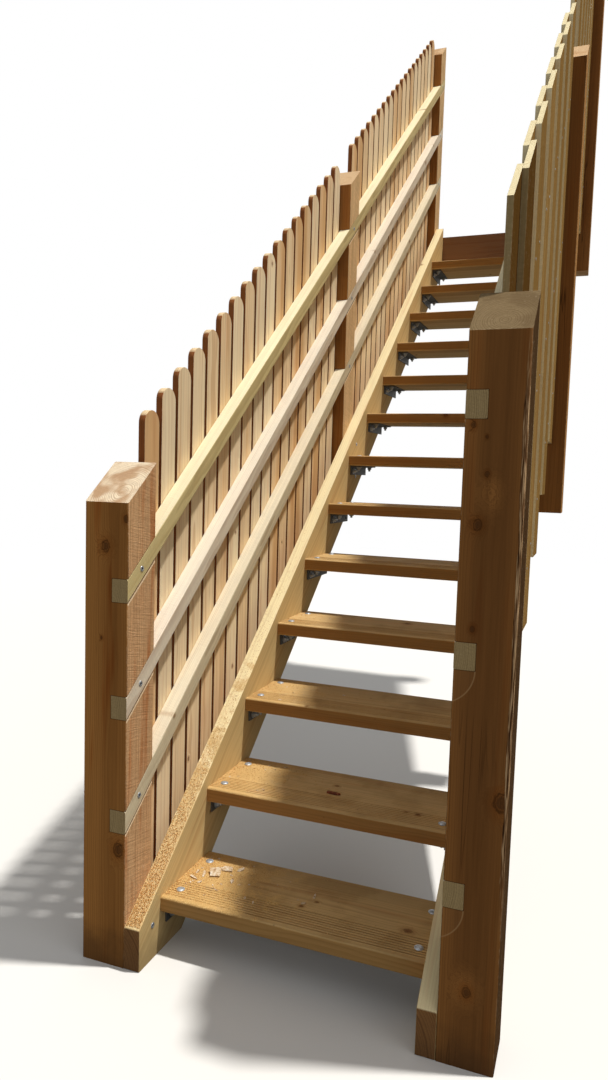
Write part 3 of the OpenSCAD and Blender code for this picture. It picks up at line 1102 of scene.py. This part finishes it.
def put_grain(batch, dice, place):
    size = dice.uniform(0.6, 1.7)
    facing = Vector((dice.uniform(-1, 1), dice.uniform(-1, 1), dice.uniform(0.2, 1))).normalized()
    batch.put(GRAIN, place, facing, dice.uniform(0, 6.3), (size * dice.uniform(1.0, 2.6), size, size * 0.8))


def thinning(dice, mean, most):
    """A random distance, short more often than long."""
    return min(-math.log(1 - dice.random()) * mean, most)


def add_sawdust(dice):
    """Sawdust on the left string's top edge and the lowest treads."""
    batch = Batch()
    string_low, string_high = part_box("string_left")
    above = string_high.z - nosing_z(string_high.y)
    for _ in range(STRING_GRAINS):
        y = string_low.y + 0.004 + thinning(dice, 0.24, 1.9)
        x = dice.uniform(string_low.x + 0.003, string_high.x - 0.003)
        put_grain(batch, dice, Vector((x, y, nosing_z(y) + above + dice.uniform(0, 0.0012))))
    for node, grains in zip(TREADS, TREAD_GRAINS):
        low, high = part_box(node)
        for _ in range(grains):
            x = LEFT_FACE + thinning(dice, 0.085, 0.5)
            y = low.y + 0.012 + (high.y - low.y - 0.02) * dice.random() ** 0.8
            put_grain(batch, dice, Vector((x, y, high.z + dice.uniform(0, 0.001))))
    batch.build("sawdust", sawdust(), 0)


def add_chips(dice):
    """Large chips where the photograph shows them, small ones scattered over the lowest treads."""
    chips = Batch()
    for across, back, length, width, spin in CHIPS:
        rise = dice.uniform(0.15, 0.45)
        tilt = Vector((dice.uniform(-0.08, 0.08), -rise, 1)).normalized()
        place = Vector((LEFT_FACE + across, FIRST_LOW.y + back, FIRST_HIGH.z + rise * width * 0.5))
        chips.put(flake(dice, length, width, CHIP_THICK), place, tilt, math.radians(spin))
    for node, count in zip(TREADS, SMALL_CHIPS):
        low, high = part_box(node)
        for _ in range(count):
            length = dice.uniform(0.006, 0.018)
            width = length * dice.uniform(0.25, 0.6)
            x = LEFT_FACE + 0.02 + abs(dice.gauss(0, 0.13))
            y = dice.uniform(low.y + 0.03, high.y - 0.02)
            tilt = Vector((dice.uniform(-0.1, 0.1), dice.uniform(-0.1, 0.1), 1)).normalized()
            shape = flake(dice, length, width, dice.uniform(0.0008, 0.0018))
            chips.put(shape, Vector((x, y, high.z)), tilt, dice.uniform(0, 6.3))
    chips.build("wood_chips", chip_wood(), 0)


def add_stick(dice):
    stick = Batch()
    low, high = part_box(TREADS[1])
    place = Vector((LEFT_FACE + STICK_PLACE[0], low.y + STICK_PLACE[1], high.z))
    stick.put(flake(dice, *STICK_SIZE), place, ALONG_Z, math.radians(STICK_TURN))
    stick.build("bark_stick", bark(), 30)


def add_litter():
    dice = random.Random(15)
    add_sawdust(dice)
    add_chips(dice)
    add_stick(dice)


add_tread_bolts()
add_screws("rail", 12, rail_screws())
add_screws("post", 13, post_screws())
add_nails()
add_litter()

# The floor's radius, and where it starts and ends to fade into the white background
FLOOR_RADIUS = 30
FADE_FROM, FADE_TO = 3.5, 10.0
WHITE = (1, 1, 1, 1)
SKY = (0.96, 0.98, 1.0, 1)
SKY_STRENGTH = 0.38

# Each lamp: the direction it shines from, strength, angle across it in degrees and colour
LAMPS = {
    "key": ((0.33, 0.11, 1.0), 3.35, 2.5, (1.0, 0.98, 0.94)),
    "fill": ((0.90, -0.30, 0.45), 0.35, 50.0, (1.0, 0.98, 0.96)),
}

# The camera fitted to the photograph: metres, degrees and millimetres
CAMERA_PLACE = (0.6617, -5.0455, -1.3936)
CAMERA_TURN = (85.161, -1.723, 20.845)
CAMERA_LENS = 25.886
CAMERA_SENSOR = 36


def add_floor():
    """Plain floor that fades to white, paler to the camera than in the light it throws back."""
    place = (0, -1.5, GROUND)
    bpy.ops.mesh.primitive_circle_add(vertices=96, radius=FLOOR_RADIUS, fill_type="NGON", location=place)
    floor = bpy.context.object
    floor.name = "floor"
    g = material_graph("floor")
    inputs = {0: g.position()}
    reach = g.node("ShaderNodeVectorMath", inputs, operation="LENGTH").outputs["Value"]
    seen = g.node("ShaderNodeLightPath").outputs["Is Camera Ray"]
    paper = g.node("ShaderNodeBsdfDiffuse", {0: g.mix(seen, (106, 102, 96), (228, 226, 222))})
    glow = g.node("ShaderNodeEmission", {0: WHITE, 1: 1.0})
    far = g.mul(g.smooth(reach, FADE_FROM, FADE_TO), seen)
    blend = g.node("ShaderNodeMixShader", {0: far, 1: paper.outputs[0], 2: glow.outputs[0]})
    g.node("ShaderNodeOutputMaterial", {0: blend.outputs[0]})
    floor.data.materials.append(g.owner)


def add_background():
    """White to the camera and in reflections, a soft sky for the rest."""
    world = bpy.data.worlds.new("studio")
    bpy.context.scene.world = world
    g = Graph(world)
    paths = g.node("ShaderNodeLightPath").outputs
    direct = g.larger(paths["Is Camera Ray"], paths["Is Glossy Ray"])
    soft = g.node("ShaderNodeBackground", {0: SKY, 1: SKY_STRENGTH})
    white = g.node("ShaderNodeBackground", {0: WHITE, 1: 1.0})
    choose = g.node("ShaderNodeMixShader", {0: direct, 1: soft.outputs[0], 2: white.outputs[0]})
    g.node("ShaderNodeOutputWorld", {0: choose.outputs[0]})


def add_lamp(name, towards, energy, angle, colour):
    data = bpy.data.lights.new(name, "SUN")
    data.energy = energy
    data.angle = math.radians(angle)
    data.color = colour
    lamp = bpy.data.objects.new(name, data)
    lamp.rotation_mode = "QUATERNION"
    lamp.rotation_quaternion = Vector(towards).to_track_quat("Z", "Y")
    bpy.context.scene.collection.objects.link(lamp)


def add_camera():
    """The photograph's viewing angle."""
    data = bpy.data.cameras.new("camera")
    data.lens = CAMERA_LENS
    data.sensor_width = CAMERA_SENSOR
    data.clip_end = 100
    camera = bpy.data.objects.new("camera", data)
    camera.location = CAMERA_PLACE
    camera.rotation_euler = [math.radians(angle) for angle in CAMERA_TURN]
    bpy.context.scene.collection.objects.link(camera)
    bpy.context.scene.camera = camera


add_floor()
add_background()
for lamp_name, lamp_values in LAMPS.items():
    add_lamp(lamp_name, *lamp_values)
add_camera()
bpy.context.scene.view_settings.view_transform = "Standard"
